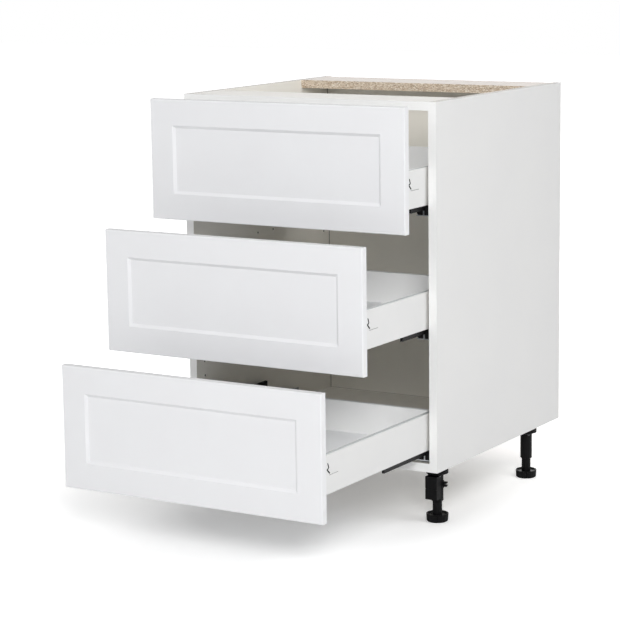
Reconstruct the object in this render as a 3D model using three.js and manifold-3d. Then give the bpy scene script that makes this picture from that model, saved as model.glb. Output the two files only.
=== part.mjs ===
// Base cabinet with three drawers, drawn with its drawers pulled out by different amounts.
// Millimetres. +X is to the right and +Y to the back, seen by someone facing the drawers; +Z is up.
// The origin is on the floor, under the middle of the cabinet's outline with the drawers out.
import * as THREE from 'three';
import { mergeVertices } from 'three/addons/utils/BufferGeometryUtils.js';
import Module from 'manifold-3d';

const wasm = await Module();
wasm.setup();

// ---- Driving sizes: the carcass -------------------------------------------------------------
const CARCASS_WIDTH = 610;
const CARCASS_DEPTH = 588;
const CARCASS_HEIGHT = 762;
const BOARD = 18;
const TOP_RAIL_DEPTH = 116;
const BACK_BOARD = 4;
const BACK_RECESS = 16; // from the sides' rear edges in to the back board
const GROOVE_DEPTH = 8; // in the sides, for the back board
const FIT = 0.3; // gap between a cut and the piece that sits in it

// ---- Driving sizes: the legs ----------------------------------------------------------------
const LEG_HEIGHT = 117;
const LEG_FROM_SIDE = 30; // leg axis to the carcass's outer face
const FRONT_LEG_FROM_FRONT = 56;
const REAR_LEG_FROM_BACK = 108;
const LEG_PLATE_RADIUS = 23.5;
const LEG_PLATE_THICKNESS = 17;
const LEG_PLATE_WALL = 13.5; // its rim's height; a cone joins the rim to the sleeve
const SLEEVE_RADIUS = 13;
const SLEEVE_LENGTH = 73;
const SLEEVE_CEILING = 8; // solid end of the sleeve above its bore
const FOOT_TUBE_RADIUS = 10;
const FOOT_TUBE_CLEARANCE = 0.4;
const FOOT_ENGAGED = 43; // length of the foot's tube inside the sleeve
const SLEEVE_MOUTH_EDGE = 1;
const FOOT_RIM_RADIUS = 23.5;
const FOOT_SOLE_RADIUS = 22.5;
const FOOT_HEIGHT = 17;
const FOOT_RIM_WIDTH = 2;
const FOOT_DISH_DEPTH = 3;
const FOOT_SOLE_EDGE = 2;
const FOOT_GROOVES = 6; // grip grooves down the foot's rim
const FOOT_GROOVE_WIDTH = 3;
const FOOT_GROOVE_RADIUS = 19; // foot's axis to the grooves' floors
const CLIP_WIDTH = 27;
const CLIP_HEIGHT = 49;
const CLIP_DROP = 17; // from the carcass down to the clip's top
const CLIP_FRONT = 28; // leg axis to the clip's front face
const CLIP_WRAP = 9; // leg axis to the rear face of the clip's block
const CLIP_RING_WALL = 1.5;
const CLIP_RING_HEIGHT = 14;
const CLIP_RING_DROP = 31;
const CLIP_EAR_REACH = 8;
const CLIP_EAR_WIDTH = 7;
const CLIP_EAR_HEIGHT = 10;
const CLIP_EAR_SLOT = 2.5; // splits the ear's tip into two prongs
const CLIP_EAR_SLOT_DEPTH = 6;
const CLIP_LINE_DROP = 26; // from the clip's top down to the line round its block
const CLIP_LINE_WIDTH = 1.2;
const CLIP_LINE_DEPTH = 0.8;

// ---- Driving sizes: the drawers -------------------------------------------------------------
const FRONT_THICKNESS = 18;
const FRONT_SIDE_REVEAL = 2; // front's edge to the carcass's outer face
const FRONT_GAP = 2; // between one front and the next
const FRONT_EDGE_RADIUS = 2;
const FRAME_WIDTH = 54.5; // flat border round the sunk panel of each front
const PANEL_SINK = 5;
const PANEL_SLOPE = 6;
const CLOSED_GAP = 2; // front to carcass with the drawer shut
const BOX_LENGTH = 484;
const SIDE_FOOT = 45; // drawer side's lower edge above the front's pitch line
const SIDE_HEIGHT = 77;
const SIDE_WIDTH = 14;
const SIDE_SHEET = 1.5;
const SIDE_LEDGE = 12; // under the edge of the bottom board
const SIDE_TOP_GROOVE = 8;
const SIDE_TOP_GROOVE_DEPTH = 2.5;
const SIDE_TO_CARCASS = 6;
const DRAWER_BOTTOM_THICKNESS = 8;
const DRAWER_BACK_THICKNESS = 12;
const DRAWER_BACK_DROP = 1; // back's top below the sides' tops
const SLOT_FROM_FRONT = 41; // top of the adjusting slot in each drawer side
const SLOT_TOP_ABOVE_FOOT = 60;
const SLOT_WIDTH = 3.2;
const COVER_LINE_FROM_FRONT = 46; // scored line under the slot
const COVER_LINE_ABOVE_FOOT = 36;
const COVER_LINE_LENGTH = 34;
const COVER_LINE_WIDTH = 1;
const COVER_LINE_DEPTH = 0.8;

// ---- Driving sizes: the runners -------------------------------------------------------------
const RUNNER_LENGTH = 396;
const RUNNER_SETBACK = 2; // from the carcass's front edge
const RUNNER_SHEET = 1.5;
const RUNNER_FLANGE_HEIGHT = 24;
const RUNNER_WEB_WIDTH = 29;
const RUNNER_BELOW_SIDE = 22; // runner's underside below the drawer side's lower edge
const UPRIGHT_HEIGHT = 27; // fixed runner's inner upright, from the runner's underside
const SLIDER_LENGTH = 432;
const SLIDER_SETBACK = 46; // slider's front end behind the carcass's front, drawer shut
const SLIDER_BELOW_SIDE = 10.5; // slider's lower edge below the drawer side's
const SLIDER_ABOVE_FOOT = 46; // slider's upper edge above the drawer side's lower edge
const CATCH_LENGTH = 58;
const CATCH_WIDTH = 12; // of the half on the drawer's side of the upright
const CATCH_HEIGHT = 19.5;
const CATCH_BRIDGE_FROM_FRONT = 18;
const CATCH_BRIDGE_LENGTH = 8;
const CATCH_BRIDGE_HEIGHT = 7;

// ---- Driving sizes: drillings ---------------------------------------------------------------
const SYSTEM_PITCH = 32;
const HOLE_RADIUS = 2.5;
const HOLE_DEPTH = 13;
const HOLE_SIDES = 10;
const FIRST_HOLE_FROM_FRONT = 32;
const FIRST_HOLE_HEIGHT = 143.5;
const ROUND_SIDES = 32;

// ---- How far each drawer stands out of the carcass, from shut -------------------------------
const BOTTOM_DRAWER_OUT = 435;
const MIDDLE_DRAWER_OUT = 277;
const TOP_DRAWER_OUT = 107;
const TOP_SLIDER_LEAD = 47; // how far the top drawer's sliders run ahead of half its travel
const DRAWERS = [
  { name: 'bottom_drawer', travel: BOTTOM_DRAWER_OUT, sliderLead: 0 },
  { name: 'middle_drawer', travel: MIDDLE_DRAWER_OUT, sliderLead: 0 },
  { name: 'top_drawer', travel: TOP_DRAWER_OUT, sliderLead: TOP_SLIDER_LEAD },
];

// ---- Places worked out from the driving sizes -----------------------------------------------
const halfWidth = CARCASS_WIDTH / 2;
const innerHalf = halfWidth - BOARD;
const backFace = CARCASS_DEPTH - BACK_RECESS - BACK_BOARD;
const pitch = CARCASS_HEIGHT / DRAWERS.length;
const frontHalf = halfWidth - FRONT_SIDE_REVEAL;
const frontHeight = pitch - FRONT_GAP;
const boxOuter = innerHalf - SIDE_TO_CARCASS;
const boxInner = boxOuter - SIDE_WIDTH;
const boxDepth = BOX_LENGTH - DRAWER_BACK_THICKNESS;
const runnerFoot = SIDE_FOOT - RUNNER_BELOW_SIDE;
const runnerFloor = runnerFoot + RUNNER_SHEET;
const runnerLine = boxOuter - SIDE_WIDTH / 2; // middle of the hollow drawer side
const halfSheet = RUNNER_SHEET / 2;
const sliderRoom = halfSheet + FIT; // from the runner line to the slider's inner faces
const sliderHalf = sliderRoom + RUNNER_SHEET;
const uprightTop = runnerFoot + UPRIGHT_HEIGHT;
const sliderWeb = uprightTop + FIT;
const tongueFoot = sliderWeb + RUNNER_SHEET + FIT;
const sideTop = SIDE_FOOT + SIDE_HEIGHT;
const sideCeiling = sideTop - SIDE_TOP_GROOVE_DEPTH - SIDE_SHEET;
const legX = halfWidth - LEG_FROM_SIDE;
const SIDES = [
  { name: 'left', sign: -1 },
  { name: 'right', sign: 1 },
];
const LEGS = [
  { name: 'front', y: FRONT_LEG_FROM_FRONT, clip: true },
  { name: 'rear', y: CARCASS_DEPTH - REAR_LEG_FROM_BACK, clip: false },
];

// ---- Materials ------------------------------------------------------------------------------
function finish(color, roughness, metalness) {
  return new THREE.MeshStandardMaterial({ color, roughness, metalness });
}
const melamine = finish(0xe6e5e2, 0.45, 0);
const frontFoil = finish(0xe7e8ea, 0.4, 0);
const steelWhite = finish(0xe4e4e3, 0.4, 0.1);
const steelBare = finish(0x9a9c9e, 0.35, 0.9);
const steelBlack = finish(0x1d1d1e, 0.4, 0.6);
const plasticBlack = finish(0x141415, 0.5, 0);

// ---- Shape helpers --------------------------------------------------------------------------
function block(x0, x1, y0, y1, z0, z1) {
  const geometry = new THREE.BoxGeometry(x1 - x0, y1 - y0, z1 - z0);
  return geometry.translate((x0 + x1) / 2, (y0 + y1) / 2, (z0 + z1) / 2);
}

function outline(points) {
  return new THREE.Shape(points.map(([a, b]) => new THREE.Vector2(a, b)));
}

// A section drawn in X and Z, run back along Y from y0.
function alongY(points, y0, length, options = {}) {
  const geometry = new THREE.ExtrudeGeometry(outline(points), {
    depth: length, bevelEnabled: false, ...options,
  });
  const turn = new THREE.Matrix4().makeBasis(
    new THREE.Vector3(1, 0, 0), new THREE.Vector3(0, 0, 1), new THREE.Vector3(0, -1, 0),
  );
  return geometry.applyMatrix4(turn).translate(0, y0 + length, 0);
}

// A section drawn in Y and Z, run along X from x0.
function alongX(points, x0, length) {
  const geometry = new THREE.ExtrudeGeometry(outline(points), { depth: length, bevelEnabled: false });
  const turn = new THREE.Matrix4().makeBasis(
    new THREE.Vector3(0, 1, 0), new THREE.Vector3(0, 0, 1), new THREE.Vector3(1, 0, 0),
  );
  return geometry.applyMatrix4(turn).translate(x0, 0, 0);
}

// A turned piece standing on Z; its profile is a list of [radius, height].
function turned(profile, x, y) {
  const points = profile.map(([radius, height]) => new THREE.Vector2(radius, height));
  return new THREE.LatheGeometry(points, ROUND_SIDES).rotateX(Math.PI / 2).translate(x, y, 0);
}

function solid(geometry) {
  const bare = geometry.clone();
  bare.deleteAttribute('normal');
  bare.deleteAttribute('uv');
  const merged = mergeVertices(bare, 1e-4);
  return new wasm.Manifold(new wasm.Mesh({
    numProp: 3,
    vertProperties: new Float32Array(merged.attributes.position.array),
    triVerts: new Uint32Array(merged.index.array),
  }));
}

function geometryOf(manifold) {
  const mesh = manifold.getMesh();
  const geometry = new THREE.BufferGeometry();
  geometry.setAttribute('position', new THREE.BufferAttribute(mesh.vertProperties, 3));
  geometry.setIndex(new THREE.BufferAttribute(mesh.triVerts, 1));
  return geometry;
}

function cut(geometry, cutters) {
  return geometryOf(cutters.reduce((body, cutter) => body.subtract(solid(cutter)), solid(geometry)));
}

function join(geometries) {
  return geometryOf(geometries.map(solid).reduce((body, piece) => body.add(piece)));
}

function piece(name, geometry, material) {
  const mesh = new THREE.Mesh(geometry, material);
  mesh.name = name;
  return mesh;
}

// Mirrors a right-hand section to the side that it is for.
function handed(points, sign) {
  return points.map(([x, z]) => [x * sign, z]);
}

// ---- Carcass --------------------------------------------------------------------------------
// Drillings seen inside the sides: hinge pairs near the front and runner holes further back.
function systemHoles() {
  const upperPair = CARCASS_HEIGHT - FIRST_HOLE_HEIGHT - SYSTEM_PITCH;
  const at = (columns, height) => [FIRST_HOLE_FROM_FRONT + columns * SYSTEM_PITCH, height];
  return [
    at(0, FIRST_HOLE_HEIGHT),
    at(0, FIRST_HOLE_HEIGHT + SYSTEM_PITCH),
    at(0, upperPair),
    at(0, upperPair + SYSTEM_PITCH),
    at(7, FIRST_HOLE_HEIGHT + 9 * SYSTEM_PITCH),
    at(9, FIRST_HOLE_HEIGHT + 9 * SYSTEM_PITCH),
    at(16, FIRST_HOLE_HEIGHT + 8 * SYSTEM_PITCH),
  ];
}

function holeOutline(y, z) {
  return Array.from({ length: HOLE_SIDES }, (_, step) => {
    const angle = (2 * Math.PI * step) / HOLE_SIDES;
    return [y + HOLE_RADIUS * Math.cos(angle), z + HOLE_RADIUS * Math.sin(angle)];
  });
}

function sidePanel({ name, sign }) {
  const edges = [sign * halfWidth, sign * innerHalf].sort((a, b) => a - b);
  const panel = block(edges[0], edges[1], 0, CARCASS_DEPTH, 0, CARCASS_HEIGHT);
  const grooveEdges = [sign * (innerHalf - 1), sign * (innerHalf + GROOVE_DEPTH)].sort((a, b) => a - b);
  const groove = block(
    grooveEdges[0], grooveEdges[1], backFace - FIT, backFace + BACK_BOARD + FIT, -1, CARCASS_HEIGHT + 1,
  );
  const holeStart = sign > 0 ? innerHalf - 1 : -innerHalf - HOLE_DEPTH;
  const holes = systemHoles().map(([y, z]) => alongX(holeOutline(y, z), holeStart, HOLE_DEPTH + 1));
  return piece(`side_panel_${name}`, cut(panel, [groove, ...holes]), melamine);
}

function carcass() {
  const group = new THREE.Group();
  group.add(...SIDES.map(sidePanel));
  const railFloor = CARCASS_HEIGHT - BOARD;
  const backHalf = innerHalf + GROOVE_DEPTH - FIT;
  const boards = {
    bottom_panel: block(-innerHalf, innerHalf, 0, backFace, 0, BOARD),
    front_top_rail: block(-innerHalf, innerHalf, 0, TOP_RAIL_DEPTH, railFloor, CARCASS_HEIGHT),
    rear_top_rail: block(
      -innerHalf, innerHalf, backFace - TOP_RAIL_DEPTH, backFace, railFloor, CARCASS_HEIGHT,
    ),
    back_panel: block(-backHalf, backHalf, backFace, backFace + BACK_BOARD, 0, CARCASS_HEIGHT),
  };
  for (const [name, geometry] of Object.entries(boards)) {
    group.add(piece(name, geometry, melamine));
  }
  return group;
}

// ---- Legs: a sleeve screwed to the carcass, a levelling foot in it, and a plinth clip --------
function legSleeve(x, y) {
  const boreRadius = FOOT_TUBE_RADIUS + FOOT_TUBE_CLEARANCE;
  return turned([
    [0, -SLEEVE_CEILING],
    [boreRadius, -SLEEVE_CEILING],
    [boreRadius, -SLEEVE_LENGTH],
    [SLEEVE_RADIUS - SLEEVE_MOUTH_EDGE, -SLEEVE_LENGTH],
    [SLEEVE_RADIUS, SLEEVE_MOUTH_EDGE - SLEEVE_LENGTH],
    [SLEEVE_RADIUS, -LEG_PLATE_THICKNESS],
    [LEG_PLATE_RADIUS, -LEG_PLATE_WALL],
    [LEG_PLATE_RADIUS, 0],
    [0, 0],
  ], x, y);
}

// A dished cup that flares up from its sole, on a tube that runs up into the sleeve.
function levellingFoot(x, y) {
  const rimTop = FOOT_HEIGHT - LEG_HEIGHT;
  const dishRadius = FOOT_RIM_RADIUS - FOOT_RIM_WIDTH;
  const half = FOOT_GROOVE_WIDTH / 2;
  const grooves = Array.from({ length: FOOT_GROOVES }, (_, step) => block(
    FOOT_GROOVE_RADIUS, FOOT_RIM_RADIUS + 1, -half, half, -LEG_HEIGHT - 1, rimTop + 1,
  ).rotateZ((2 * Math.PI * step) / FOOT_GROOVES).translate(x, y, 0));
  const body = turned([
    [0, -LEG_HEIGHT],
    [FOOT_SOLE_RADIUS - FOOT_SOLE_EDGE, -LEG_HEIGHT],
    [FOOT_SOLE_RADIUS, FOOT_SOLE_EDGE - LEG_HEIGHT],
    [FOOT_RIM_RADIUS, rimTop],
    [dishRadius, rimTop],
    [dishRadius - FOOT_DISH_DEPTH, rimTop - FOOT_DISH_DEPTH],
    [FOOT_TUBE_RADIUS, rimTop - FOOT_DISH_DEPTH],
    [FOOT_TUBE_RADIUS, FOOT_ENGAGED - SLEEVE_LENGTH],
    [0, FOOT_ENGAGED - SLEEVE_LENGTH],
  ], x, y);
  return cut(body, grooves);
}

// A block that faces the plinth, on a ring round the sleeve with an ear at its outer side.
function plinthClip(x, y) {
  const half = CLIP_WIDTH / 2;
  const foot = -CLIP_DROP - CLIP_HEIGHT;
  const room = SLEEVE_RADIUS + FIT;
  const ringRadius = room + CLIP_RING_WALL;
  const ringTop = -CLIP_RING_DROP;
  const outwards = Math.sign(x);
  const earEdges = [x + outwards * room, x + outwards * (ringRadius + CLIP_EAR_REACH)];
  const body = join([
    block(x - half, x + half, y - CLIP_FRONT, y - CLIP_WRAP, foot, -CLIP_DROP),
    turned(disc(ringRadius, ringTop - CLIP_RING_HEIGHT, ringTop), x, y),
    block(
      Math.min(...earEdges), Math.max(...earEdges), y - CLIP_EAR_WIDTH / 2, y + CLIP_EAR_WIDTH / 2,
      ringTop - CLIP_EAR_HEIGHT, ringTop,
    ),
  ]);
  const slotMiddle = ringTop - CLIP_EAR_HEIGHT / 2;
  const slotEdges = [earEdges[1] - outwards * CLIP_EAR_SLOT_DEPTH, earEdges[1] + outwards];
  const lineTop = -CLIP_DROP - CLIP_LINE_DROP;
  const inside = half - CLIP_LINE_DEPTH;
  const line = (x0, x1, y0, y1) => block(x0, x1, y0, y1, lineTop - CLIP_LINE_WIDTH, lineTop);
  return cut(body, [
    turned(disc(room, foot - 1, -CLIP_DROP + 1), x, y),
    block(
      Math.min(...slotEdges), Math.max(...slotEdges), y - CLIP_EAR_WIDTH, y + CLIP_EAR_WIDTH,
      slotMiddle - CLIP_EAR_SLOT / 2, slotMiddle + CLIP_EAR_SLOT / 2,
    ),
    line(x - half - 1, x + half + 1, y - CLIP_FRONT - 1, y - CLIP_FRONT + CLIP_LINE_DEPTH),
    line(x - half - 1, x - inside, y - CLIP_FRONT - 1, y - CLIP_WRAP + 1),
    line(x + inside, x + half + 1, y - CLIP_FRONT - 1, y - CLIP_WRAP + 1),
  ]);
}

function disc(radius, foot, top) {
  return [[0, foot], [radius, foot], [radius, top], [0, top]];
}

function legs() {
  const group = new THREE.Group();
  for (const leg of LEGS) {
    for (const side of SIDES) {
      const x = side.sign * legX;
      group.add(piece(`leg_sleeve_${leg.name}_${side.name}`, legSleeve(x, leg.y), plasticBlack));
      group.add(piece(`levelling_foot_${leg.name}_${side.name}`, levellingFoot(x, leg.y), plasticBlack));
      if (leg.clip) {
        group.add(piece(`plinth_clip_${side.name}`, plinthClip(x, leg.y), plasticBlack));
      }
    }
  }
  return group;
}

// ---- Runners: a fixed rail on the carcass, with a catch, and a slider between it and the drawer
// Seen from the end: a flange on the side panel, a wide web, and an upright for the slider.
function fixedRunner(sign) {
  const rail = alongY(handed([
    [innerHalf - RUNNER_WEB_WIDTH, runnerFoot],
    [innerHalf, runnerFoot],
    [innerHalf, runnerFoot + RUNNER_FLANGE_HEIGHT],
    [innerHalf - RUNNER_SHEET, runnerFoot + RUNNER_FLANGE_HEIGHT],
    [innerHalf - RUNNER_SHEET, runnerFloor],
    [runnerLine + halfSheet, runnerFloor],
    [runnerLine + halfSheet, uprightTop],
    [runnerLine - halfSheet, uprightTop],
    [runnerLine - halfSheet, runnerFloor],
    [innerHalf - RUNNER_WEB_WIDTH, runnerFloor],
  ], sign), RUNNER_SETBACK, RUNNER_LENGTH);
  return cut(rail, [catchBridge(sign, FIT)]);
}

// The bar that joins the catch's two halves, through a window in the upright.
function catchBridge(sign, margin) {
  const start = RUNNER_SETBACK + CATCH_BRIDGE_FROM_FRONT;
  const foot = runnerFloor + 3 * FIT;
  const edges = [sign * (runnerLine - sliderHalf - 1), sign * (runnerLine + sliderHalf + 1)];
  return block(
    Math.min(...edges), Math.max(...edges), start - margin, start + CATCH_BRIDGE_LENGTH + margin,
    foot - margin, foot + CATCH_BRIDGE_HEIGHT + margin,
  );
}

function runnerCatch(sign) {
  const outer = innerHalf - RUNNER_SHEET - FIT;
  const foot = runnerFloor + FIT;
  const chamfer = CATCH_WIDTH / 4;
  const clear = sliderHalf + FIT;
  const inwards = runnerLine - clear;
  const innerHalfOfCatch = alongY(handed([
    [inwards, foot],
    [inwards, foot + CATCH_HEIGHT],
    [inwards - CATCH_WIDTH + chamfer, foot + CATCH_HEIGHT],
    [inwards - CATCH_WIDTH, foot + CATCH_HEIGHT - chamfer],
    [inwards - CATCH_WIDTH, foot + chamfer],
    [inwards - CATCH_WIDTH + chamfer, foot],
  ], sign), RUNNER_SETBACK, CATCH_LENGTH);
  const outerHalfOfCatch = alongY(handed([
    [outer, foot],
    [outer, foot + CATCH_HEIGHT],
    [runnerLine + clear, foot + CATCH_HEIGHT],
    [runnerLine + clear, foot],
  ], sign), RUNNER_SETBACK, CATCH_LENGTH);
  return join([innerHalfOfCatch, outerHalfOfCatch, catchBridge(sign, 0)]);
}

// An H section: its lower channel straddles the fixed upright, its upper one holds the tongue.
function slider(sign) {
  const foot = SIDE_FOOT - SLIDER_BELOW_SIDE;
  const top = SIDE_FOOT + SLIDER_ABOVE_FOOT;
  return alongY(handed([
    [runnerLine - sliderHalf, foot],
    [runnerLine - sliderRoom, foot],
    [runnerLine - sliderRoom, sliderWeb],
    [runnerLine + sliderRoom, sliderWeb],
    [runnerLine + sliderRoom, foot],
    [runnerLine + sliderHalf, foot],
    [runnerLine + sliderHalf, top],
    [runnerLine + sliderRoom, top],
    [runnerLine + sliderRoom, sliderWeb + RUNNER_SHEET],
    [runnerLine - sliderRoom, sliderWeb + RUNNER_SHEET],
    [runnerLine - sliderRoom, top],
    [runnerLine - sliderHalf, top],
  ], sign), SLIDER_SETBACK, SLIDER_LENGTH);
}

// ---- Drawer: a framed front on a box with hollow steel sides, carried on two rails ------------
function drawerFront() {
  const low = FRONT_GAP / 2;
  const bevel = FRONT_EDGE_RADIUS;
  const body = alongY([
    [-frontHalf, low],
    [frontHalf, low],
    [frontHalf, low + frontHeight],
    [-frontHalf, low + frontHeight],
  ], -FRONT_THICKNESS - CLOSED_GAP + bevel, FRONT_THICKNESS - 2 * bevel, {
    bevelEnabled: true, bevelThickness: bevel, bevelSize: bevel, bevelOffset: -bevel, bevelSegments: 3,
  });
  return cut(body, [sunkPanel(low)]);
}

// The space over the sunk panel: a block whose four walls lean outwards to the front.
function sunkPanel(low) {
  const frontFace = -FRONT_THICKNESS - CLOSED_GAP;
  const rise = 1; // runs past the front face
  const lean = (PANEL_SLOPE * (PANEL_SINK + rise)) / PANEL_SINK;
  const halfX = frontHalf - FRAME_WIDTH - PANEL_SLOPE;
  const halfZ = frontHeight / 2 - FRAME_WIDTH - PANEL_SLOPE;
  const space = new THREE.BoxGeometry(2 * halfX, PANEL_SINK + rise, 2 * halfZ);
  const position = space.attributes.position;
  for (let i = 0; i < position.count; i += 1) {
    if (position.getY(i) < 0) {
      position.setX(i, position.getX(i) + Math.sign(position.getX(i)) * lean);
      position.setZ(i, position.getZ(i) + Math.sign(position.getZ(i)) * lean);
    }
  }
  return space.translate(0, frontFace + (PANEL_SINK - rise) / 2, low + frontHeight / 2);
}

// One straight stroke of the slot, with pointed ends, cut through the outer sheet.
function slotStroke(sign, from, to) {
  const half = SLOT_WIDTH / 2;
  const along = new THREE.Vector2(...to).sub(new THREE.Vector2(...from)).setLength(half);
  const start = sign > 0 ? boxOuter - SIDE_SHEET - 1 : -boxOuter - 1;
  return alongX([
    [from[0] - along.x, from[1] - along.y],
    [from[0] + along.y, from[1] - along.x],
    [to[0] + along.y, to[1] - along.x],
    [to[0] + along.x, to[1] + along.y],
    [to[0] - along.y, to[1] + along.x],
    [from[0] - along.y, from[1] + along.x],
  ], start, SIDE_SHEET + 2);
}

function adjustingSlot(sign) {
  const y = SLOT_FROM_FRONT - CLOSED_GAP;
  const z = SIDE_FOOT + SLOT_TOP_ABOVE_FOOT;
  const bends = [[0, 0], [3.5, -8.5], [-2.5, -12], [6.5, -20]].map(([dy, dz]) => [y + dy, z + dz]);
  return bends.slice(1).map((bend, index) => slotStroke(sign, bends[index], bend));
}

function coverLine(sign) {
  const y = COVER_LINE_FROM_FRONT - CLOSED_GAP;
  const z = SIDE_FOOT + COVER_LINE_ABOVE_FOOT;
  const edges = [sign * (boxOuter - COVER_LINE_DEPTH), sign * (boxOuter + 1)];
  return block(
    Math.min(...edges), Math.max(...edges), y, y + COVER_LINE_LENGTH, z, z + COVER_LINE_WIDTH,
  );
}

// Folded from sheet: two walls and a grooved top, open below, with a ledge for the bottom board.
function drawerSide(sign) {
  const grooveOuter = boxOuter - (SIDE_WIDTH - SIDE_TOP_GROOVE) / 2;
  const grooveInner = grooveOuter - SIDE_TOP_GROOVE;
  const grooveFloor = sideTop - SIDE_TOP_GROOVE_DEPTH;
  const body = alongY(handed([
    [boxOuter, SIDE_FOOT],
    [boxOuter, sideTop - SIDE_SHEET],
    [boxOuter - SIDE_SHEET, sideTop],
    [grooveOuter, sideTop],
    [grooveOuter, grooveFloor],
    [grooveInner, grooveFloor],
    [grooveInner, sideTop],
    [boxInner + SIDE_SHEET, sideTop],
    [boxInner, sideTop - SIDE_SHEET],
    [boxInner, SIDE_FOOT + SIDE_SHEET],
    [boxInner - SIDE_LEDGE, SIDE_FOOT + SIDE_SHEET],
    [boxInner - SIDE_LEDGE, SIDE_FOOT],
    [boxInner + SIDE_SHEET, SIDE_FOOT],
    [boxInner + SIDE_SHEET, sideCeiling],
    [boxOuter - SIDE_SHEET, sideCeiling],
    [boxOuter - SIDE_SHEET, SIDE_FOOT],
  ], sign), -CLOSED_GAP, BOX_LENGTH);
  return cut(body, [...adjustingSlot(sign), coverLine(sign)]);
}

// A T section hung inside the drawer side: its tongue reaches down into the slider.
function drawerRail(sign) {
  const top = sideCeiling - FIT;
  const half = SIDE_WIDTH / 2 - SIDE_SHEET - FIT;
  return alongY(handed([
    [runnerLine - halfSheet, tongueFoot],
    [runnerLine + halfSheet, tongueFoot],
    [runnerLine + halfSheet, top - RUNNER_SHEET],
    [runnerLine + half, top - RUNNER_SHEET],
    [runnerLine + half, top],
    [runnerLine - half, top],
    [runnerLine - half, top - RUNNER_SHEET],
    [runnerLine - halfSheet, top - RUNNER_SHEET],
  ], sign), -CLOSED_GAP, BOX_LENGTH);
}

function drawerParts(name) {
  const group = new THREE.Group();
  const inside = boxInner - FIT;
  const backTop = sideTop - DRAWER_BACK_DROP;
  const ledgeTop = SIDE_FOOT + SIDE_SHEET;
  const backStart = boxDepth - CLOSED_GAP;
  group.add(piece(`${name}_front`, drawerFront(), frontFoil));
  group.add(piece(`${name}_bottom`, block(
    -inside, inside, -CLOSED_GAP, backStart, ledgeTop, ledgeTop + DRAWER_BOTTOM_THICKNESS,
  ), melamine));
  group.add(piece(`${name}_back`, block(
    -inside, inside, backStart, backStart + DRAWER_BACK_THICKNESS, ledgeTop, backTop,
  ), melamine));
  for (const side of SIDES) {
    group.add(piece(`${name}_side_${side.name}`, drawerSide(side.sign), steelWhite));
    group.add(piece(`${name}_rail_${side.name}`, drawerRail(side.sign), steelBare));
  }
  return group;
}

function runners({ name, travel, sliderLead }) {
  const fixed = new THREE.Group();
  const moving = new THREE.Group();
  moving.position.y = -travel / 2 - sliderLead;
  for (const side of SIDES) {
    fixed.add(piece(`${name}_runner_${side.name}`, fixedRunner(side.sign), steelBare));
    fixed.add(piece(`${name}_catch_${side.name}`, runnerCatch(side.sign), plasticBlack));
    moving.add(piece(`${name}_slider_${side.name}`, slider(side.sign), steelBlack));
  }
  fixed.add(moving);
  return fixed;
}

function drawers() {
  const group = new THREE.Group();
  DRAWERS.forEach((item, level) => {
    const bay = new THREE.Group();
    bay.position.z = level * pitch;
    const drawer = drawerParts(item.name);
    drawer.position.y = -item.travel;
    bay.add(drawer, runners(item));
    group.add(bay);
  });
  return group;
}

// ---- The whole cabinet, standing on the floor with its outline centred on the origin ----------
const furthestOut = Math.max(...DRAWERS.map(({ travel }) => travel)) + CLOSED_GAP + FRONT_THICKNESS;
const cabinet = new THREE.Group();
cabinet.add(carcass(), legs(), drawers());
cabinet.position.set(0, (furthestOut - CARCASS_DEPTH) / 2, LEG_HEIGHT);

export default cabinet;
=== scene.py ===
"""Looks for a three-drawer base cabinet: finishes, fittings, floor, light and camera."""
import math

import bmesh
import bpy
from mathutils import Matrix, Vector


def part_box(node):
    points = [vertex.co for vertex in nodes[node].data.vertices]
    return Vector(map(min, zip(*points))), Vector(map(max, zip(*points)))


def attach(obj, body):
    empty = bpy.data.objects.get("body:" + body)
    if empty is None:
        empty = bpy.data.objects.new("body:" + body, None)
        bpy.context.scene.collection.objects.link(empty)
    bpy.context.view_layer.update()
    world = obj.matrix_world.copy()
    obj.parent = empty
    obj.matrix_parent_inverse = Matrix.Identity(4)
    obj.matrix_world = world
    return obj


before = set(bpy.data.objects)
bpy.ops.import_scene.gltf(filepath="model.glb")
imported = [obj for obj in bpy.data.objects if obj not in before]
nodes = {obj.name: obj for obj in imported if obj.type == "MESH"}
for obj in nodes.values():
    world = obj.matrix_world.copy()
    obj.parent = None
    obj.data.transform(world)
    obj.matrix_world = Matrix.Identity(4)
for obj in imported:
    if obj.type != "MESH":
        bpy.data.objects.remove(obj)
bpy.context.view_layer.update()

MM = 0.001
X, Y, Z = 0, 1, 2
UP, DOWN = (Z, 1), (Z, -1)
FORWARD, BACKWARD = (Y, -1), (Y, 1)
FACES = 0.7  # a surface faces along an axis up to about 45 degrees off it
SIDES = (("left", -1), ("right", 1))
DRAWERS = ("bottom", "middle", "top")

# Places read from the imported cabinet, in metres.
side_low, side_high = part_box("side_panel_right")
FLOOR_TO_CARCASS = side_low.z
CARCASS_TOP = side_high.z
CARCASS_FRONT = side_low.y
CARCASS_BACK = side_high.y
INNER_HALF = side_low.x
OUTER_HALF = side_high.x


# ---- Colours -------------------------------------------------------------------------------------
def linear(red, green, blue):
    """A colour given as it looks on screen, 0 to 255, as the shader wants it."""
    def channel(value):
        value /= 255
        return value / 12.92 if value <= 0.04045 else ((value + 0.055) / 1.055) ** 2.4
    return (channel(red), channel(green), channel(blue), 1.0)


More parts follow.
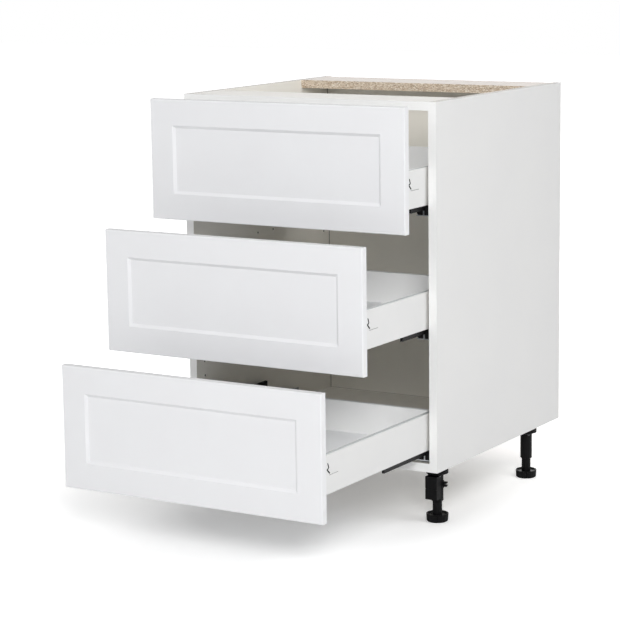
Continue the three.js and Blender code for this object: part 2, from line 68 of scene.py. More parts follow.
# Pairs are the two shades that a faint cloud mixes.
FOIL_WHITE = (linear(231, 231, 233), linear(235, 236, 238))
# painted shade: a darker white for the drawer fronts' top faces
FOIL_TOP_SHADE = linear(212, 212, 213)
SIDE_WHITE = (linear(228, 228, 228), linear(232, 232, 231))
# painted light: the carcass's inner faces are made paler and warmer than its outer white, lifting
# the shade inside
INNER_PAINTED_LIGHT_CREAM = (linear(245, 242, 234), linear(248, 245, 237))
BOTTOM_CREAM = (linear(234, 231, 224), linear(238, 235, 228))
# painted shade: the top rails are darker copies of the white board, so their top faces read as
# shaded
FRONT_RAIL_SHADED_CREAM = (linear(207, 204, 199), linear(212, 209, 203))
REAR_RAIL_SHADED_CREAM = (linear(204, 195, 187), linear(209, 200, 192))
# painted light: the drawer boards are whiter than the carcass's board, lifting the shade inside the
# drawers
DRAWER_PAINTED_LIGHT_WHITE = (linear(245, 246, 247), linear(248, 249, 250))
LIPPING_WHITE = linear(248, 248, 247)
LIPPING_SEAM = linear(150, 146, 138)
EDGE_PRIMER = linear(146, 145, 144)
# painted shade: near black for the walls inside the bores
BORE_SHADE_BROWN = (linear(34, 26, 20), linear(58, 45, 34))
CHIP_DUST = linear(214, 200, 180)
BACK_WHITE = (linear(249, 246, 237), linear(252, 249, 240))
BACK_FIBRE = (linear(126, 92, 62), linear(160, 124, 88))
BACK_FLECK = linear(92, 64, 42)
# painted shade: dark for the back board's corners against the side and bottom panels
BACK_CORNER_SHADE = linear(44, 37, 30)
STEEL_WHITE = (linear(225, 225, 225), linear(230, 230, 229))
# painted shade: grey for the groove along a drawer side's top
GROOVE_SHADE_GREY = linear(197, 200, 201)
# painted shade: grey for the scored line on a drawer side
SCORED_SHADE_GREY = linear(120, 120, 121)
# painted shade: near black for the walls of the slot in a drawer side
SLOT_SHADE_BLACK = linear(30, 30, 31)
ZINC = (linear(172, 174, 177), linear(194, 196, 199))
SCREW_ZINC = (linear(150, 151, 152), linear(192, 193, 195))
LACQUER_BLACK = (linear(10, 10, 11), linear(19, 19, 20))
PLASTIC_BLACK = (linear(11, 11, 12), linear(18, 18, 19))


# ---- Node materials ------------------------------------------------------------------------------
class Nodes:
    """A shader's nodes, added one at a time."""

    def __init__(self, tree):
        self.tree = tree

    def add(self, kind, **settings):
        node = self.tree.nodes.new(kind)
        for key, value in settings.items():
            setattr(node, key, value)
        return node

    def put(self, socket, value):
        if isinstance(value, bpy.types.NodeSocket):
            self.tree.links.new(value, socket)
        elif value is not None:
            socket.default_value = value

    def math(self, operation, first, second=None, third=None):
        node = self.add("ShaderNodeMath", operation=operation)
        for socket, value in zip(node.inputs, (first, second, third)):
            self.put(socket, value)
        return node.outputs[0]

    def between(self, value, low, high, out_low=0.0, out_high=1.0):
        """Maps low to high onto out_low to out_high, and holds the ends."""
        node = self.add("ShaderNodeMapRange")
        for socket, number in zip(node.inputs, (value, low, high, out_low, out_high)):
            self.put(socket, number)
        return node.outputs[0]

    def mix(self, share, first, second):
        node = self.add("ShaderNodeMix", data_type="RGBA")
        self.put(node.inputs["Factor"], share)
        self.put(node.inputs[6], first)
        self.put(node.inputs[7], second)
        return node.outputs[2]

    def background_rays(self):
        """1 for what the camera sees, straight or in metal or glass; 0 for light on the object."""
        path = self.add("ShaderNodeLightPath").outputs
        shown = self.math("MAXIMUM", path["Is Camera Ray"], path["Is Glossy Ray"])
        return self.math("MAXIMUM", shown, path["Is Transmission Ray"])


class Finish(Nodes):
    """A material; its patterns lie in the object's own metres, and their scales are per metre."""

    def __init__(self, name, **shader):
        self.material = bpy.data.materials.new(name)
        self.material.use_nodes = True
        super().__init__(self.material.node_tree)
        self.shader = self.tree.nodes["Principled BSDF"]
        self.coordinates = self.add("ShaderNodeTexCoord").outputs
        self.place = self.coordinates["Object"]
        for socket, value in shader.items():
            self.shader.inputs[socket.replace("_", " ")].default_value = value

    def stretched(self, scale):
        node = self.add("ShaderNodeVectorMath", operation="MULTIPLY")
        self.put(node.inputs[0], self.place)
        self.put(node.inputs[1], scale)
        return node.outputs[0]

    def noise(self, scale, detail=2.0, roughness=0.5, place=None):
        node = self.add("ShaderNodeTexNoise")
        self.put(node.inputs["Vector"], place or self.place)
        self.put(node.inputs["Scale"], scale)
        self.put(node.inputs["Detail"], detail)
        self.put(node.inputs["Roughness"], roughness)
        return node.outputs["Fac"]

    def cells(self, scale, place=None, output="Color"):
        node = self.add("ShaderNodeTexVoronoi", feature="F1")
        self.put(node.inputs["Vector"], place or self.place)
        self.put(node.inputs["Scale"], scale)
        return node.outputs[output]

    def spread_out(self, noise, low, high):
        """A noise, most of which lies from 0.3 to 0.7, made to run from low to high."""
        return self.between(noise, 0.3, 0.7, low, high)

    def split(self, vector):
        node = self.add("ShaderNodeSeparateXYZ")
        self.put(node.inputs[0], vector)
        return node.outputs

    def inside(self, *ranges):
        """1 where every (value, low, high) lies within its range."""
        share = None
        for value, low, high in ranges:
            here = self.math("COMPARE", value, (low + high) / 2, (high - low) / 2)
            share = here if share is None else self.math("MULTIPLY", share, here)
        return share

    def facing(self):
        """The surface's own direction, which doesn't change as the piece moves."""
        return self.split(self.coordinates["Normal"])

    def colour(self, value):
        self.put(self.shader.inputs["Base Color"], value)

    def roughness(self, value):
        self.put(self.shader.inputs["Roughness"], value)

    def bump(self, height, strength, distance, under=None):
        node = self.add("ShaderNodeBump")
        self.put(node.inputs["Strength"], strength)
        self.put(node.inputs["Distance"], distance)
        self.put(node.inputs["Height"], height)
        self.put(node.inputs["Normal"], under)
        self.put(self.shader.inputs["Normal"], node.outputs[0])
        return node.outputs[0]


def past(start, marks):
    """The range between two marks, measured up from start."""
    return start + marks[0], start + marks[1]


def short_of(start, marks):
    """The range between two marks, measured down from start."""
    return start - marks[1], start - marks[0]


# ---- Drawer fronts and boards --------------------------------------------------------------------
CREST = 2.0 * MM  # how far down the foil's dull top edge, darkened with painted shade, may reach


def foil(level):
    """Satin white foil over a moulded board: a faint orange peel, and a dull top edge darkened with
    painted shade.
    """
    look = Finish(f"{level}_front_foil", Coat_Weight=0.1, Coat_Roughness=0.25)
    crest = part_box(f"{level}_drawer_front")[1].z - CREST
    upper = look.math(
        "MULTIPLY", look.between(look.facing()[Z], 0.3, 0.8),
        look.math("GREATER_THAN", look.split(look.place)[Z], crest),
    )
    # painted shade: the fronts' top faces are coloured darker than the rest of the foil
    look.colour(look.mix(upper, look.mix(look.noise(9, detail=3), *FOIL_WHITE), FOIL_TOP_SHADE))
    satin = look.spread_out(look.noise(60, detail=4), 0.34, 0.42)
    look.roughness(look.math("MULTIPLY_ADD", upper, 0.45, satin))
    peel = look.bump(look.noise(420, detail=2), 0.06, 0.4 * MM)
    look.bump(look.noise(2600, detail=2), 0.08, 0.05 * MM, under=peel)
    return look.material


def facing_paper(look, shades, inner=None):
    """White facing paper: nearly even, finely pearled; paler and creamier where inner is 1, as
    painted light.
    """
    tint = look.noise(7, detail=3)
    pale = look.mix(tint, *shades)
    if inner is not None:
        # painted light: inner faces take the paler, warmer cream
        pale = look.mix(inner, pale, look.mix(tint, *INNER_PAINTED_LIGHT_CREAM))
    pearl = look.bump(look.cells(1500, output="Distance"), 0.05, 0.08 * MM)
    look.bump(look.noise(5200, detail=3), 0.08, 0.05 * MM, under=pearl)
    look.roughness(look.spread_out(look.noise(120, detail=3), 0.40, 0.5))
    return pale


CHIPS_ACROSS, CHIPS_ALONG = 820.0, 330.0  # chips a metre
CHIP_TONES = (
    (0.0, (132, 108, 87)), (0.14, (172, 148, 124)), (0.45, (203, 185, 162)),
    (0.8, (223, 208, 190)), (1.0, (243, 237, 225)),
)


def chips(look, along):
    """Raw particleboard: flat chips that lie along one axis, with finer dust between them."""
    stretch = [CHIPS_ACROSS] * 3
    stretch[along] = CHIPS_ALONG
    ramp = look.add("ShaderNodeValToRGB")
    look.put(ramp.inputs[0], look.split(look.cells(1.0, place=look.stretched(stretch)))[0])
    stops = ramp.color_ramp.elements
    stops[0].position, stops[1].position = CHIP_TONES[0][0], CHIP_TONES[-1][0]
    stops[0].color, stops[1].color = linear(*CHIP_TONES[0][1]), linear(*CHIP_TONES[-1][1])
    for position, tone in CHIP_TONES[1:-1]:
        stops.new(position).color = linear(*tone)
    dusty = look.between(look.noise(900, detail=4), 0.42, 0.75, 0.0, 0.6)
    return look.mix(dusty, ramp.outputs[0], CHIP_DUST)


LIPPING = 1.0 * MM      # thickness of the edging on a board's front edge
SEAM_HALF = 0.09 * MM   # half the width of the line behind it
PRIMER_PATCHES = 0.12   # how far the primer's share wanders


def edged(look, pale, raw, along, primed=0.0, bores=None):
    """Adds a lipping, raw edges and bores painted dark as painted shade to a board; primed is the
    primer's share of the edges.
    """
    normal = look.facing()
    share = None
    for axis, sign in raw:
        here = look.math("GREATER_THAN", look.math("MULTIPLY", normal[axis], sign), FACES)
        share = here if share is None else look.math("MAXIMUM", share, here)
    lipped = look.math("LESS_THAN", normal[Y], -FACES)
    seam = look.math("COMPARE", look.split(look.place)[Y], CARCASS_FRONT + LIPPING, SEAM_HALF)
    pale = look.mix(look.math("MULTIPLY", seam, 0.22), pale, LIPPING_SEAM)
    pale = look.mix(lipped, pale, LIPPING_WHITE)
    if raw:
        bare = chips(look, along)
        if primed:
            patches = look.spread_out(
                look.noise(40, detail=3), primed - PRIMER_PATCHES, primed + PRIMER_PATCHES,
            )
            bare = look.mix(patches, bare, EDGE_PRIMER)
        pale = look.mix(share, pale, bare)
    if bores:
        pale = look.mix(bores[0], pale, bores[1])
    look.colour(pale)
    return look.material


def faced_board(name, raw, shades):
    """White board with a lipped front edge, and raw edges where raw says so."""
    look = Finish(name, Specular_IOR_Level=0.2)
    return edged(look, facing_paper(look, shades), raw, X)


SKIN = 0.6 * MM  # what lies deeper than this in a side panel is a bore's wall


def side_panel():
    """Outer face white; inner face a paler cream as painted light; edges under grey primer, and
    bores inside painted dark as painted shade.
    """
    look = Finish("side_board")
    x, y, z = look.split(look.place)
    depth = look.math("SUBTRACT", look.math("ABSOLUTE", x), INNER_HALF)
    board = OUTER_HALF - INNER_HALF
    pale = facing_paper(look, SIDE_WHITE, inner=look.math("LESS_THAN", depth, board / 2))
    within = look.inside(
        (depth, SKIN, board - SKIN),
        (y, CARCASS_FRONT + SKIN, CARCASS_BACK - SKIN),
        (z, FLOOR_TO_CARCASS + SKIN, CARCASS_TOP - SKIN),
    )
    # painted shade: the bores' walls are coloured near black
    bore = look.mix(look.noise(900), *BORE_SHADE_BROWN)
    return edged(look, pale, (UP, DOWN, BACKWARD), Y, primed=0.8, bores=(within, bore))


SIDE_CORNER_SHADE = (0.9 * MM, 1.4 * MM)    # painted corner shade on the back board: dark up to the first, gone at the second
BOTTOM_CORNER_SHADE = (0.6 * MM, 1.2 * MM)


def hardboard():
    """Back board: white lacquer on the inner face, bare brown fibre behind and at the edges, and
    painted shade along the corners where it meets the sides and bottom.
    """
    look = Finish("back_board")
    pale = facing_paper(look, BACK_WHITE)
    x, _, z = look.split(look.place)
    grain = look.stretched((1.0, 1.0, 0.5))
    fibre = look.noise(260, detail=6, roughness=0.7, place=grain)
    flecks = look.between(look.cells(420, output="Distance"), 0.0, 0.25, 0.25, 0.0)
    brown = look.mix(flecks, look.mix(fibre, *BACK_FIBRE), BACK_FLECK)
    inner = look.math("LESS_THAN", look.facing()[Y], -0.5)
    from_side = look.math("SUBTRACT", INNER_HALF, look.math("ABSOLUTE", x))
    above = look.math("SUBTRACT", z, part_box("bottom_panel")[1].z)
    # painted shade: the back board darkens near the side and bottom panels, as shade in the corners
    corner_shade = look.math(
        "MAXIMUM", look.between(from_side, *SIDE_CORNER_SHADE, 0.95, 0.0),
        look.between(above, *BOTTOM_CORNER_SHADE, 0.4, 0.0),
    )
    look.colour(look.mix(inner, brown, look.mix(corner_shade, pale, BACK_CORNER_SHADE)))
    return look.material


# ---- Metal and plastic ---------------------------------------------------------------------------
# Marks on a drawer side: in from its outer face, down from its top, back from its front end and up
# from its foot.
GROOVE_IN, GROOVE_DOWN = (2.9 * MM, 11.1 * MM), (0.2 * MM, 2.8 * MM)
SCORE_IN, SCORE_BACK, SCORE_UP = (0.3 * MM, 0.9 * MM), (44 * MM, 82 * MM), (34 * MM, 38 * MM)
SLOT_IN, SLOT_BACK, SLOT_UP = (-0.1 * MM, 1.6 * MM), (34 * MM, 52 * MM), (35 * MM, 66 * MM)


def powder_coat(level):
    """White powder coat on folded steel, with painted shade: a grey top groove, a grey scored line
    and dark slot edges.
    """
    look = Finish(f"{level}_drawer_steel", Coat_Weight=0.1, Coat_Roughness=0.3)
    low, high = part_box(f"{level}_drawer_side_right")
    x, y, z = look.split(look.place)
    out = look.math("ABSOLUTE", x)
    groove = look.inside(
        (out, *short_of(high.x, GROOVE_IN)), (z, *short_of(high.z, GROOVE_DOWN)),
    )
    scored = look.inside(
        (out, *short_of(high.x, SCORE_IN)), (y, *past(low.y, SCORE_BACK)),
        (z, *past(low.z, SCORE_UP)),
    )
    slot = look.inside(
        (out, *short_of(high.x, SLOT_IN)), (y, *past(low.y, SLOT_BACK)),
        (z, *past(low.z, SLOT_UP)),
        (look.math("ABSOLUTE", look.facing()[X]), -FACES, FACES),
    )
    pale = look.mix(look.noise(14, detail=3), *STEEL_WHITE)
    # painted shade in the top groove
    pale = look.mix(groove, pale, GROOVE_SHADE_GREY)
    # painted shade in the scored line
    pale = look.mix(scored, pale, SCORED_SHADE_GREY)
    # painted shade on the slot's walls
    look.colour(look.mix(slot, pale, SLOT_SHADE_BLACK))
    look.roughness(look.spread_out(look.noise(90, detail=3), 0.36, 0.44))
    peel = look.bump(look.noise(700, detail=2), 0.08, 0.2 * MM)
    look.bump(look.noise(3800, detail=2), 0.1, 0.04 * MM, under=peel)
    return look.material


def zinc():
    """Zinc-plated strip steel, rolled along the runner."""
    look = Finish("runner_steel", Metallic=1.0, Anisotropic=0.4)
    streak = look.noise(1.0, detail=4, place=look.stretched((700.0, 9.0, 700.0)))
    look.colour(look.mix(streak, *ZINC))
    look.roughness(look.spread_out(look.noise(70, detail=2), 0.28, 0.38))
    look.bump(streak, 0.12, 0.05 * MM)
    return look.material


def screw_zinc():
    """Zinc plating on small pressed and turned steel."""
    look = Finish("screw_zinc", Metallic=1.0)
    cloud = look.noise(700, detail=4)
    look.colour(look.mix(cloud, *SCREW_ZINC))
    look.roughness(look.spread_out(cloud, 0.26, 0.4))
    look.bump(look.noise(2600, detail=3), 0.1, 0.05 * MM)
    return look.material


def black_steel():
    """Black lacquered slider, with the steel's rolling marks just showing."""
    look = Finish("slider_steel", Specular_IOR_Level=0.12)
    streak = look.noise(1.0, detail=5, place=look.stretched((700.0, 16.0, 700.0)))
    look.colour(look.mix(streak, *LACQUER_BLACK))
    look.roughness(look.spread_out(streak, 0.3, 0.46))
    look.bump(streak, 0.15, 0.05 * MM)
    return look.material


def moulded_black(name):
    """Black plastic with a fine spark-eroded grain; gives the finish and its grain."""
    look = Finish(name, Specular_IOR_Level=0.09)
    look.colour(look.mix(look.noise(45, detail=4), *PLASTIC_BLACK))
    look.roughness(look.spread_out(look.noise(300, detail=3), 0.44, 0.6))
    return look, look.bump(look.noise(2400, detail=3), 0.25, 0.06 * MM)


def ribbed_plastic(name, centre, count, depth):
    """Black plastic with shallow ribs down a round piece about centre, shinier on top."""
    look, grain = moulded_black(name)
    x, y, _ = look.split(look.place)
    angle = look.math(
        "ARCTAN2", look.math("SUBTRACT", y, centre.y), look.math("SUBTRACT", x, centre.x),
    )
    rib = look.math("SINE", look.math("MULTIPLY", angle, float(count)))
    look.bump(look.between(rib, 0.2, 0.9), 0.6, depth, under=grain)
    worn = look.between(look.facing()[Z], 0.6, 0.9, 0.46, 0.24)
    patches = look.noise(300, detail=3)
    look.roughness(look.spread_out(patches, worn, look.math("ADD", worn, 0.1)))
    return look.material


RIBS_ACROSS, RIBS_DOWN = 2.6 * MM, 5.0 * MM  # from one rib of a catch to the next


def ribbed_catch():
    """Black plastic catch with fine ribs across its end and down its sides."""
    look, grain = moulded_black("runner_catch")
    x, y, _ = look.split(look.place)
    across = look.math("SINE", look.math("MULTIPLY", x, 2 * math.pi / RIBS_ACROSS))
    down = look.math("SINE", look.math("MULTIPLY", y, 2 * math.pi / RIBS_DOWN))
    both = look.math("MULTIPLY", look.between(across, -0.2, 0.5), look.between(down, -0.6, 0.0))
    look.bump(both, 0.7, 0.5 * MM, under=grain)
    return look.material


# ---- Finishes on the cabinet's own pieces --------------------------------------------------------
def dress(names, material, edge, steps=2):
    """Gives CAD nodes a finish, and softens their hard edges by edge metres, where it isn't 0."""
    for name in names:
        node = nodes[name]
        node.data.materials.clear()
        node.data.materials.append(material)
        if edge:
            bevel = node.modifiers.new("soft_edges", "BEVEL")
            bevel.width = edge
            bevel.segments = steps
            bevel.limit_method = "ANGLE"
            bevel.angle_limit = math.radians(50)
            bevel.harden_normals = True


side_board = side_panel()
# painted shade: the top rails take darker creams than the rest of the board
rear_rail_board = faced_board("rear_rail_board", (FORWARD, BACKWARD), REAR_RAIL_SHADED_CREAM)
front_rail_board = faced_board("front_rail_board", (BACKWARD,), FRONT_RAIL_SHADED_CREAM)
bottom_board = faced_board("bottom_board", (BACKWARD,), BOTTOM_CREAM)
drawer_board = faced_board("drawer_board", (), DRAWER_PAINTED_LIGHT_WHITE)
back_board = hardboard()
runner_zinc = zinc()
slider_black = black_steel()
catch_black = ribbed_catch()

dress(["side_panel_left", "side_panel_right"], side_board, 0.5 * MM)
dress(["bottom_panel"], bottom_board, 0.4 * MM)
dress(["front_top_rail"], front_rail_board, 0.4 * MM)
dress(["rear_top_rail"], rear_rail_board, 0.3 * MM)
dress(["back_panel"], back_board, 0.0)
for level in DRAWERS:
    drawer = f"{level}_drawer"
    dress([f"{drawer}_front"], foil(level), 0.8 * MM, steps=3)
    dress([f"{drawer}_bottom", f"{drawer}_back"], drawer_board, 0.4 * MM)
    dress([f"{drawer}_side_{side}" for side, _ in SIDES], powder_coat(level), 0.35 * MM)
    for side, _ in SIDES:
        dress([f"{drawer}_runner_{side}", f"{drawer}_rail_{side}"], runner_zinc, 0.2 * MM)
        dress([f"{drawer}_slider_{side}"], slider_black, 0.2 * MM)
        dress([f"{drawer}_catch_{side}"], catch_black, 0.5 * MM)

leg_centres = []
for row in ("front", "rear"):
    for side, _ in SIDES:
        sleeve, foot = f"leg_sleeve_{row}_{side}", f"levelling_foot_{row}_{side}"
        low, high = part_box(sleeve)
        centre = (low + high) / 2
        leg_centres.append(centre)
        dress([sleeve], ribbed_plastic(sleeve, centre, 12, 0.5 * MM), 0.4 * MM)
        dress([foot], ribbed_plastic(foot, centre, 18, 0.3 * MM), 0.4 * MM)
dress([f"plinth_clip_{side}" for side, _ in SIDES], moulded_black("plinth_clip")[0].material,
      0.6 * MM)


# ---- Shapes of the small fittings ----------------------------------------------------------------
def outward(shape, name):
    """The finished shape as a mesh, with its faces turned outward."""
    bmesh.ops.recalc_face_normals(shape, faces=shape.faces)
    mesh = bpy.data.meshes.new(name)
    shape.to_mesh(mesh)
    shape.free()
    return mesh


def band(shape, first, second):
    """Faces between two rings of as many vertices."""
    for k in range(len(first)):
        nxt = (k + 1) % len(first)
        shape.faces.new((first[k], first[nxt], second[nxt], second[k]))


def stacked(name, rings):
    """A skin over rings of points, open at the first and closed at the last."""
    shape = bmesh.new()
    previous = None
    for points in rings:
        ring = [shape.verts.new(point) for point in points]
        if previous:
            band(shape, previous, ring)
        previous = ring
    shape.faces.new(previous)
    return outward(shape, name)


TIP = 0.05  # millimetres; the least radius, so that a ring never closes to a point


def turned(profile, steps=40):
    """A round piece about +Z from (radius, height) pairs in millimetres."""
    turns = [2 * math.pi * k / steps for k in range(steps)]
    rings = []
    for radius, height in profile:
        reach = max(radius, TIP) * MM
        rings.append([
            (reach * math.cos(turn), reach * math.sin(turn), height * MM) for turn in turns
        ])
    return stacked("turned", rings)


PLATE_REACH, PLATE_HALF_HEIGHT, PLATE_CORNER = 9.0, 15.0, 4.0  # millimetres
PLATE_RIM = ((0.0, 0.0), (0.0, 0.9), (0.8, 1.2), (1.6, 1.2), (2.0, 0.7))


def bracket(steps=6):
    """A plate with round corners and a raised rim on the XY plane, facing +Z."""
    rings = []
    for inset, height in PLATE_RIM:
        ring = []
        for quarter, (side, up) in enumerate(((1, 1), (-1, 1), (-1, -1), (1, -1))):
            for k in range(steps + 1):
                turn = math.radians(90 * quarter + 90 * k / steps)
                round_by = PLATE_CORNER - inset
                ring.append((
                    (side * (PLATE_REACH - PLATE_CORNER) + round_by * math.cos(turn)) * MM,
                    (up * (PLATE_HALF_HEIGHT - PLATE_CORNER) + round_by * math.sin(turn)) * MM,
                    height * MM,
                ))
        rings.append(ring)
    return stacked("bracket", rings)


CROSS_HALF, CROSS_REACH = 0.14, 0.55  # of a cross recess, as shares of the head's radius
CROSS_DEPTH = 0.6                     # as a share of the head's rise


def screw_head(radius, rise, steps=16):
    """A pan head on the XY plane, facing +Z, with a cross recess pressed into its crown."""
    shape = bmesh.new()
    rows = []
    for i in range(steps + 1):
        row = []
        for j in range(steps + 1):
            a, b = 2 * i / steps - 1, 2 * j / steps - 1
            x, y = a * math.sqrt(1 - b * b / 2), b * math.sqrt(1 - a * a / 2)
            out = math.hypot(x, y)
            height = rise * (0.45 + 0.55 * math.sqrt(max(0.0, 1 - out ** 2.4)))
            near, far = sorted((abs(x), abs(y)))
            sunk = CROSS_DEPTH * rise * (near < CROSS_HALF and far < CROSS_REACH)
            row.append(shape.verts.new((x * radius, y * radius, height - sunk)))
        rows.append(row)
    for i in range(steps):
        for j in range(steps):
            shape.faces.new((rows[i][j], rows[i + 1][j], rows[i + 1][j + 1], rows[i][j + 1]))
    rim = [row[0] for row in rows[:-1]] + rows[-1][:-1]
    rim += [row[-1] for row in rows[:0:-1]] + rows[0][:0:-1]
    foot = [shape.verts.new((vert.co.x, vert.co.y, 0.0)) for vert in rim]
    band(shape, rim, foot)
    return outward(shape, "screw_head")


def spread(name, pattern, places, material, body, smooth=True):
    """One mesh that repeats pattern at each (point, direction it faces, turn), riding on body."""
    shape = bmesh.new()
    for point, faces, turn in places:
        copy = bmesh.new()
        copy.from_mesh(pattern)
        aim = Vector(faces).to_track_quat("Z", "Y").to_matrix().to_4x4()
        copy.transform(Matrix.Translation(point) @ aim @ Matrix.Rotation(turn, 4, "Z"))
        part = bpy.data.meshes.new("part")
        copy.to_mesh(part)
        copy.free()
        shape.from_mesh(part)
        bpy.data.meshes.remove(part)
    mesh = bpy.data.meshes.new(name)
    shape.to_mesh(mesh)
    shape.free()
    for face in mesh.polygons:
        face.use_smooth = smooth
    mesh.materials.append(material)
    piece = bpy.data.objects.new(name, mesh)
    bpy.context.scene.collection.objects.link(piece)
    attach(piece, body)


# ---- The small fittings, in metres ---------------------------------------------------------------
screw_metal = screw_zinc()
BELOW = (0, 0, -1)

LEG_SCREW_RING = 17.4 * MM   # from a leg's middle
LEG_BOSS_DROP = 12.4 * MM    # from the carcass down to a boss
LEG_SCREW_DROP = 16.2 * MM   # and to the screw in it
LEG_BOSS = ((3.9, 0.0), (3.8, 3.4), (3.3, 4.0), (0.0, 4.0))

boss_places, leg_screw_places = [], []
for centre in leg_centres:
    for quarter in range(4):
        angle = math.radians(45 + 90 * quarter)
        x = centre.x + LEG_SCREW_RING * math.cos(angle)
        y = centre.y + LEG_SCREW_RING * math.sin(angle)
        boss_places.append(((x, y, FLOOR_TO_CARCASS - LEG_BOSS_DROP), BELOW, angle))
        leg_screw_places.append(((x, y, FLOOR_TO_CARCASS - LEG_SCREW_DROP), BELOW, angle))
spread("leg_screw_bosses", turned(LEG_BOSS), boss_places,
       moulded_black("leg_screw_bosses")[0].material, "carcass")
spread("leg_screws", screw_head(2.9 * MM, 1.4 * MM), leg_screw_places, screw_metal,
       "carcass")

RUNNER_SHEET = 1.5 * MM
RUNNER_SCREWS_BACK = (0.096, 0.228, 0.360)  # from the carcass's front
RUNNER_SCREW_RISE = 13 * MM                 # from the runner's foot

runner_screw_places = []
for level in DRAWERS:
    for side, sign in SIDES:
        low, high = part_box(f"{level}_drawer_runner_{side}")
        x = sign * (max(abs(low.x), abs(high.x)) - RUNNER_SHEET)
        for back in RUNNER_SCREWS_BACK:
            point = (x, CARCASS_FRONT + back, low.z + RUNNER_SCREW_RISE)
            turn = back * 40 + sign  # any turn, as a driver leaves it
            runner_screw_places.append((point, (-sign, 0, 0), turn))
spread("runner_screws", screw_head(3.6 * MM, 1.6 * MM), runner_screw_places, screw_metal,
       "carcass")

CAM_OUT = 0.253             # from the cabinet's middle
CAMS_BACK = (0.060, 0.500)  # from the carcass's front, under the bottom panel
CAM_SHARES = (0.25, 0.75)   # of a top rail's depth
CAM_RIM = ((7.5, 0.0), (7.5, 0.4), (7.1, 0.5), (6.0, 0.5), (5.7, 0.3), (1.5, 0.3), (1.2, 0.05))

cam_places = []
for _, sign in SIDES:
    for back in CAMS_BACK:
        cam_places.append(((sign * CAM_OUT, CARCASS_FRONT + back, FLOOR_TO_CARCASS), BELOW, 0.3))
    for rail in ("front_top_rail", "rear_top_rail"):
        low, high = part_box(rail)
        for share in CAM_SHARES:
            point = (sign * CAM_OUT, low.y + (high.y - low.y) * share, low.z)
            cam_places.append((point, BELOW, 0.5))
spread("cam_fittings", turned(CAM_RIM), cam_places, screw_metal, "carcass")

BRACKET_SUNK = 3.0 * MM               # from a drawer side's outer face
BRACKET_BACK = 43 * MM                # from its front end
BRACKET_RISE = 50 * MM                # from its foot
BACK_SCREW_RISES = (25 * MM, 60 * MM)
BACK_SCREW_INSET = 6 * MM             # from its rear end

bracket_black = moulded_black("front_bracket")[0].material
bracket_places = {level: [] for level in DRAWERS}
back_screw_places = {level: [] for level in DRAWERS}
for level in DRAWERS:
    for side, sign in SIDES:
        low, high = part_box(f"{level}_drawer_side_{side}")
        outer, faces = max(abs(low.x), abs(high.x)), (sign, 0, 0)
        point = (sign * (outer - BRACKET_SUNK), low.y + BRACKET_BACK, low.z + BRACKET_RISE)
        bracket_places[level].append((point, faces, 0.0))
        for rise in BACK_SCREW_RISES:
            point = (sign * outer, high.y - BACK_SCREW_INSET, low.z + rise)
            back_screw_places[level].append((point, faces, rise * 50))  # any turn, as above
for level, places in bracket_places.items():
    spread(f"{level}_drawer_brackets", bracket(), places, bracket_black, f"{level}_drawer",
           smooth=False)
for level, places in back_screw_places.items():
    spread(f"{level}_drawer_screws", screw_head(3.2 * MM, 1.0 * MM), places, screw_metal,
           f"{level}_drawer")


# ---- Floor, light and camera ---------------------------------------------------------------------
WHITE_LIGHT = (1, 1, 1, 1)
ROOM_LIGHT = 0.27                    # the world's strength on the object, where 1 is white
SHADOW_CORE, SHADOW_END = 0.3, 1.1   # metres from the cabinet's middle
SHADOW_LIFT = 0.19                   # white added to the shadow's core


def grey(share):
    return (share, share, share, 1)


def floor():
    """A pale floor that keeps the shadow and runs to white away from the cabinet."""
    bpy.ops.mesh.primitive_plane_add(size=30)
    plane = bpy.context.object
    plane.name = "studio_floor"
    look = Finish("studio_floor", Roughness=1.0, Specular_IOR_Level=0.0,
                  Emission_Color=WHITE_LIGHT)
    shown = look.background_rays()
    look.colour(look.mix(shown, grey(0.8), grey(0.97)))
    away = look.add("ShaderNodeVectorMath", operation="LENGTH")
    look.put(away.inputs[0], look.place)
    lift = look.between(away.outputs["Value"], SHADOW_CORE, SHADOW_END, SHADOW_LIFT, 1.0)
    look.put(look.shader.inputs["Emission Strength"], look.math("MULTIPLY", shown, lift))
    plane.data.materials.append(look.material)


def sky():
    """Even room light on the object, in front of a white background."""
    world = bpy.data.worlds.new("studio")
    bpy.context.scene.world = world
    world.use_nodes = True
    look = Nodes(world.node_tree)
    background = world.node_tree.nodes["Background"]
    background.inputs["Color"].default_value = WHITE_LIGHT
    strength = look.between(look.background_rays(), 0.0, 1.0, ROOM_LIGHT, 1.0)
    look.put(background.inputs["Strength"], strength)


LIT_POINT = Vector((0, 0, 0.45))


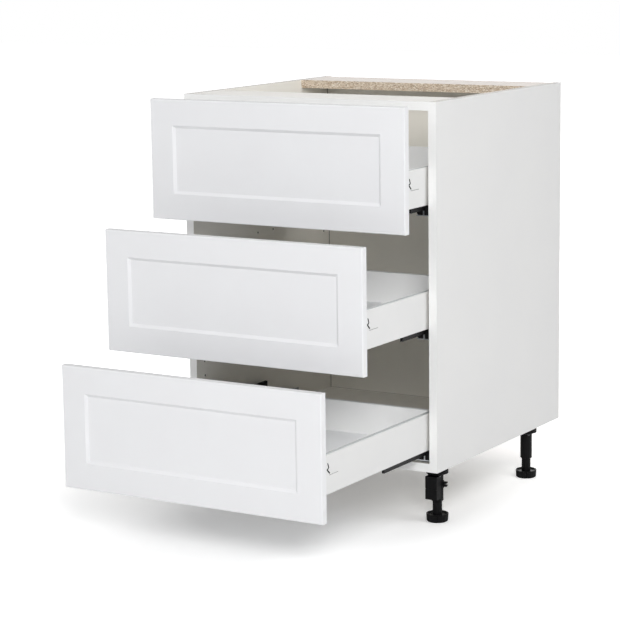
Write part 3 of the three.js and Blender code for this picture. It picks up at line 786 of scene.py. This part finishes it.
def softbox(name, turn, rise, away, size, watts):
    """A square soft light; turn is in degrees from the front to the right, rise is from level."""
    turn, rise = math.radians(turn), math.radians(rise)
    towards = Vector((
        math.sin(turn) * math.cos(rise), -math.cos(turn) * math.cos(rise), math.sin(rise),
    ))
    light = bpy.data.lights.new(name, "AREA")
    light.size = size
    light.energy = watts
    lamp = bpy.data.objects.new(name, light)
    lamp.location = LIT_POINT + towards * away
    lamp.rotation_euler = towards.to_track_quat("Z", "Y").to_euler()
    bpy.context.scene.collection.objects.link(lamp)


CAMERA_PLACE = (2.36963, -3.93585, 1.22741)
CAMERA_YAW, CAMERA_PITCH, CAMERA_ROLL = 31.44, 9.92, -0.78  # degrees
LENS, SENSOR = 127.36, 36                                   # millimetres


def camera():
    """The photograph's view, from the cabinet's right front."""
    yaw, pitch, roll = (math.radians(a) for a in (CAMERA_YAW, CAMERA_PITCH, CAMERA_ROLL))
    ahead = Vector((
        -math.sin(yaw) * math.cos(pitch), math.cos(yaw) * math.cos(pitch), -math.sin(pitch),
    ))
    right = Vector((math.cos(yaw), math.sin(yaw), 0))
    up = right.cross(ahead)
    right, up = (
        right * math.cos(roll) + up * math.sin(roll),
        up * math.cos(roll) - right * math.sin(roll),
    )
    data = bpy.data.cameras.new("camera")
    data.sensor_width = SENSOR
    data.lens = LENS
    data.clip_end = 100
    view = bpy.data.objects.new("camera", data)
    view.matrix_world = Matrix((
        (right.x, up.x, -ahead.x, CAMERA_PLACE[X]),
        (right.y, up.y, -ahead.y, CAMERA_PLACE[Y]),
        (right.z, up.z, -ahead.z, CAMERA_PLACE[Z]),
        (0, 0, 0, 1),
    ))
    bpy.context.scene.collection.objects.link(view)
    bpy.context.scene.camera = view


floor()
sky()
softbox("key", turn=35.0, rise=22.0, away=5.0, size=1.4, watts=106)
softbox("side", turn=85.0, rise=48.0, away=4.0, size=2.0, watts=51)
softbox("fill", turn=-25.0, rise=30.0, away=4.0, size=2.0, watts=27)
softbox("top", turn=0.0, rise=87.0, away=4.0, size=2.5, watts=8)
softbox("back", turn=205.0, rise=20.0, away=4.0, size=2.4, watts=20)
camera()
bpy.context.scene.view_settings.view_transform = "Standard"
